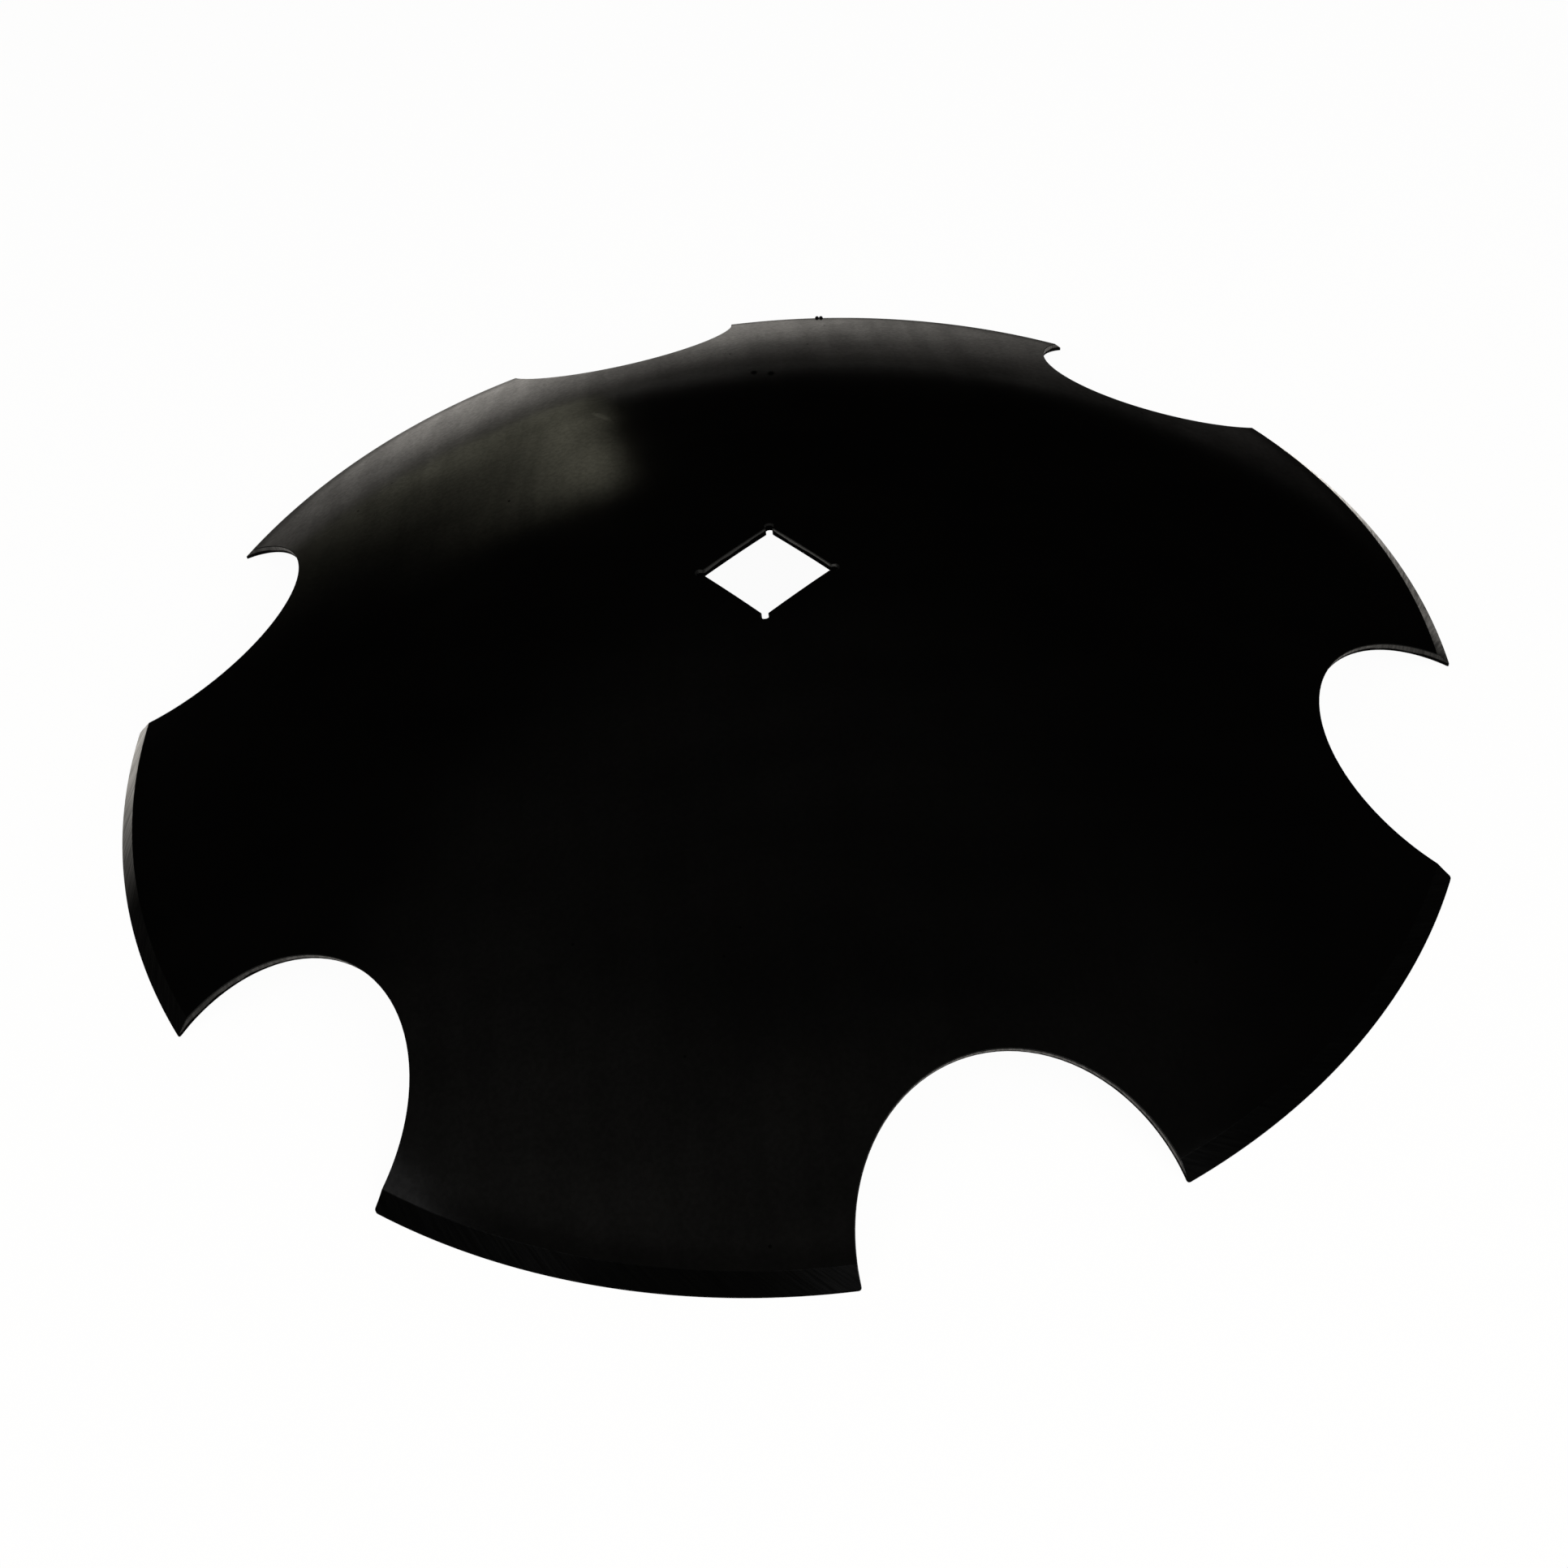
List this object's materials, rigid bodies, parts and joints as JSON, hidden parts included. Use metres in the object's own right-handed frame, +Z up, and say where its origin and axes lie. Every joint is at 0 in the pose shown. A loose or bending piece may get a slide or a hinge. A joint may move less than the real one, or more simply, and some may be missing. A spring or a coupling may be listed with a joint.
{
  "type": "harrow disc blade",
  "caption": "Notched, dished steel disc blade with a square axle hole in its crown and a rim bevelled on the outer side, for a disc harrow gang.",
  "frame": {"origin": "on the axle's line, in the plane that the rim rests on, which is the middle of the box's bottom", "axes": "+Z up along the axle's line, out of the dish's outer side; X and Y square to the sides of the axle hole"},
  "size_m": [0.4528, 0.4572, 0.0608],
  "materials": {
    "black_paint": "thin satin black paint over the rolled plate, its punched edges and the ground bevel of its rim"
  },
  "bodies": {
    "root": {"disc_blade": "black_paint"}
  },
  "joints": []
}
